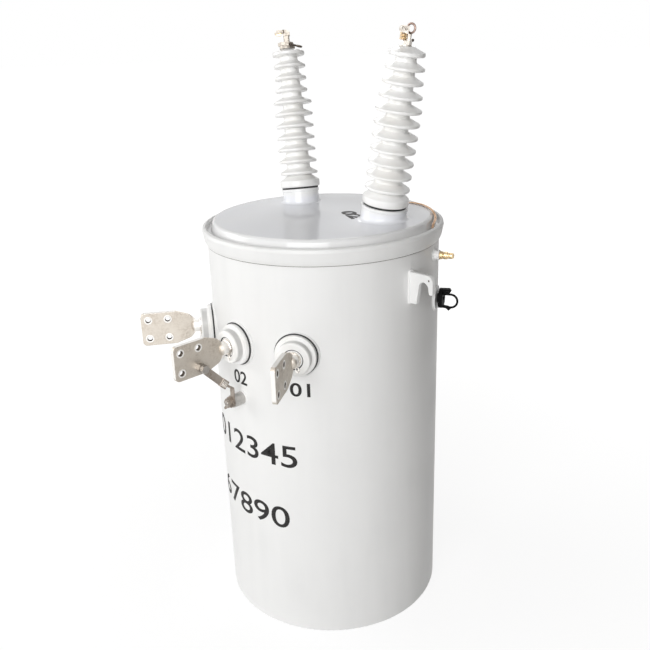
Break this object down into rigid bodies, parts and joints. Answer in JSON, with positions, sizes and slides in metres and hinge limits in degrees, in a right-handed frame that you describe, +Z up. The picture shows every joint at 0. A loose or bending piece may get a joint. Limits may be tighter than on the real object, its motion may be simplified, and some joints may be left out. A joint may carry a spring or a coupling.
{
  "type": "pole mounted distribution transformer",
  "caption": "Round oil filled transformer tank with clamped lid, leaning high voltage bushings, spade terminals on the wall, lifting hooks, pole brackets and a turning tap handle.",
  "frame": {"origin": "centre of the tank underside", "axes": "+Z up; the low voltage terminals face -Y and the pole stands at +Y; +X is to the right seen from the low voltage side"},
  "size_m": [0.6572, 0.7532, 1.3641],
  "materials": {
    "tank_paint": "gloss light grey enamel",
    "white_porcelain": "white glaze",
    "gasket_rubber": "matt black",
    "tinned_metal": "satin tin plate",
    "plated_steel": "zinc plated",
    "stainless": "machined",
    "valve_brass": "machined brass",
    "terminal_bronze": "dull bronze",
    "copper_ribbon": "bare copper",
    "black_plastic": "matt black"
  },
  "bodies": {
    "transformer": {"clamp_band": "tank_paint", "clamp_band_bolt": "plated_steel", "cover": "tank_paint", "ground_boss": "stainless", "ground_connector": "tinned_metal", "ground_strap": "tinned_metal", "ground_strap_bolt": "plated_steel", "hanger_bracket_lower": "tank_paint", "hanger_bracket_upper": "tank_paint", "hv_bushing_1": "white_porcelain", "hv_bushing_2": "white_porcelain", "hv_clamp_jaw_1": "tinned_metal", "hv_clamp_jaw_2": "tinned_metal", "hv_clamp_spring_1": "valve_brass", "hv_clamp_spring_2": "valve_brass", "hv_eyebolt_1": "terminal_bronze", "hv_eyebolt_2": "terminal_bronze", "hv_gasket_1": "gasket_rubber", "hv_gasket_2": "gasket_rubber", "hv_terminal_1": "tinned_metal", "hv_terminal_2": "tinned_metal", "lid_bond_strap": "copper_ribbon", "lifting_lug_left": "tank_paint", "lifting_lug_right": "tank_paint", "lv_boss_1": "tank_paint", "lv_boss_2": "tank_paint", "lv_boss_3": "tank_paint", "lv_bushing_1": "white_porcelain", "lv_bushing_2": "white_porcelain", "lv_bushing_3": "white_porcelain", "lv_gasket_1": "gasket_rubber", "lv_gasket_2": "gasket_rubber", "lv_gasket_3": "gasket_rubber", "lv_spade_1": "tinned_metal", "lv_spade_2": "tinned_metal", "lv_spade_3": "tinned_metal", "lv_stud_1": "tinned_metal", "lv_stud_2": "tinned_metal", "lv_stud_3": "tinned_metal", "relief_valve": "valve_brass", "relief_valve_coupling": "tank_paint", "tank_body": "tank_paint", "tank_bottom": "tank_paint", "tap_changer_flange": "tank_paint"},
    "tap_handle": {"tap_changer_handle": "black_plastic"}
  },
  "joints": [
    {"name": "tap_handle_turn", "type": "hinge", "parent": "transformer", "child": "tap_handle", "pos_m": [0.25416, 0.12894, 0.7782], "axis": [0.8918, 0.4524, 0], "range_deg": [-60, 60]}
  ]
}
